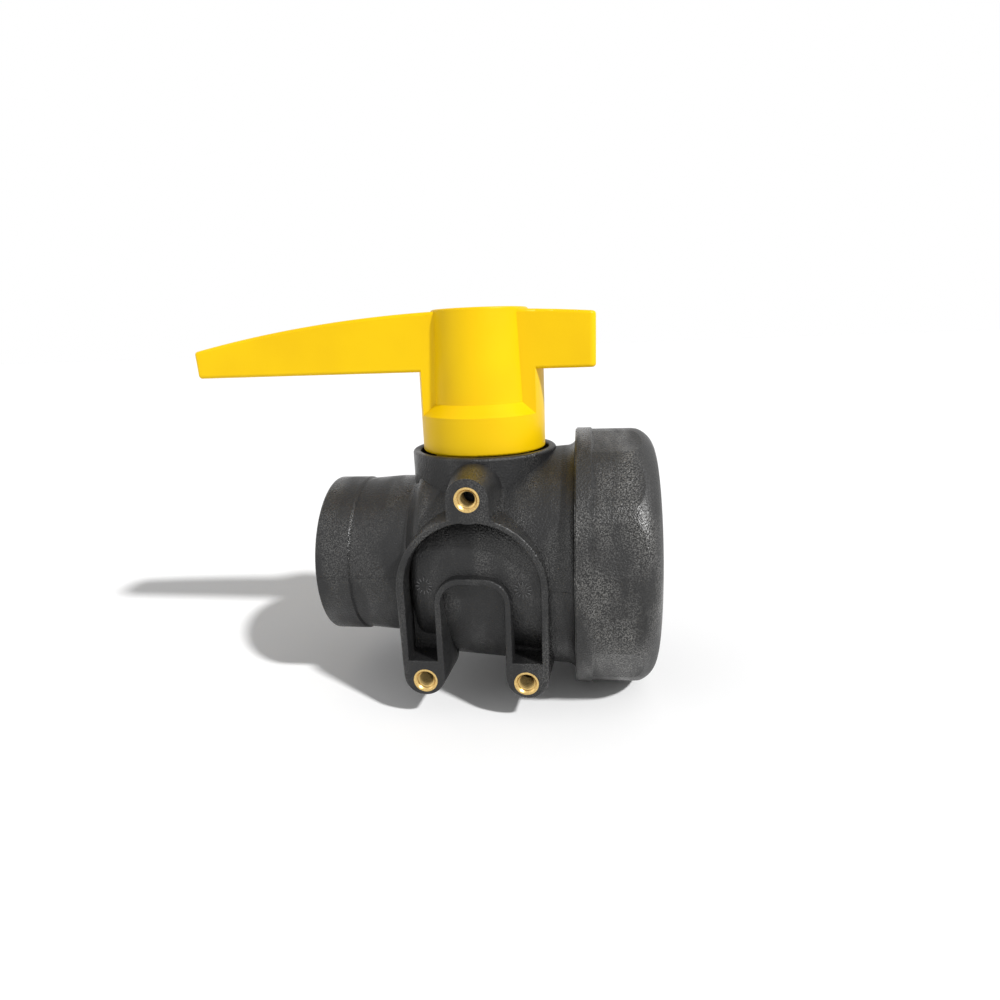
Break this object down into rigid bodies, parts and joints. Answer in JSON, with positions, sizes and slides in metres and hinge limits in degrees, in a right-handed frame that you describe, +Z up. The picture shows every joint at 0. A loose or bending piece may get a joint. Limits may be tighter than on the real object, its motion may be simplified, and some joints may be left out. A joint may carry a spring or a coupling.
{
  "type": "ball valve",
  "caption": "Black plastic tank outlet ball valve with yellow lever handle, swivelling union nut, female threaded outlet and front mounting plate with brass inserts.",
  "frame": {"origin": "centre of the ball, where the flow axis and the stem axis cross", "axes": "+X along the flow axis towards the tank and the union nut, +Z up the stem to the handle, -Y towards the mounting plate's face"},
  "size_m": [0.1689, 0.0956, 0.1394],
  "materials": {
    "body_plastic": "textured glass-filled black",
    "connector_plastic": "smooth black",
    "nut_plastic": "textured glass-filled black",
    "gasket_rubber": "matt black rubber",
    "ball_plastic": "polished black plastic",
    "stem_plastic": "machined black plastic",
    "handle_yellow": "glossy yellow plastic",
    "screw_steel": "stainless steel",
    "washer_steel": "stainless steel",
    "seat_ptfe": "white PTFE",
    "oring_rubber": "black rubber",
    "insert_brass": "turned brass"
  },
  "bodies": {
    "valve": {"valve_body": "body_plastic", "end_connector": "connector_plastic", "connector_oring": "oring_rubber", "seat_outlet": "seat_ptfe", "seat_tank": "seat_ptfe", "seat_oring_outlet": "oring_rubber", "seat_oring_tank": "oring_rubber", "tank_gasket": "gasket_rubber", "insert_top": "insert_brass", "insert_left": "insert_brass", "insert_right": "insert_brass"},
    "rotor": {"handle": "handle_yellow", "handle_screw": "screw_steel", "handle_washer": "washer_steel", "stem": "stem_plastic", "ball": "ball_plastic", "stem_oring_lower": "oring_rubber", "stem_oring_upper": "oring_rubber", "thrust_washer": "seat_ptfe"},
    "nut": {"union_nut": "nut_plastic"}
  },
  "joints": [
    {"name": "handle_turn", "type": "hinge", "parent": "valve", "child": "rotor", "pos_m": [0, 0, 0], "axis": [0, 0, 1], "range_deg": [-90, 0]},
    {"name": "nut_spin", "type": "hinge", "parent": "valve", "child": "nut", "pos_m": [0.05, 0, 0], "axis": [1, 0, 0], "continuous": true}
  ]
}
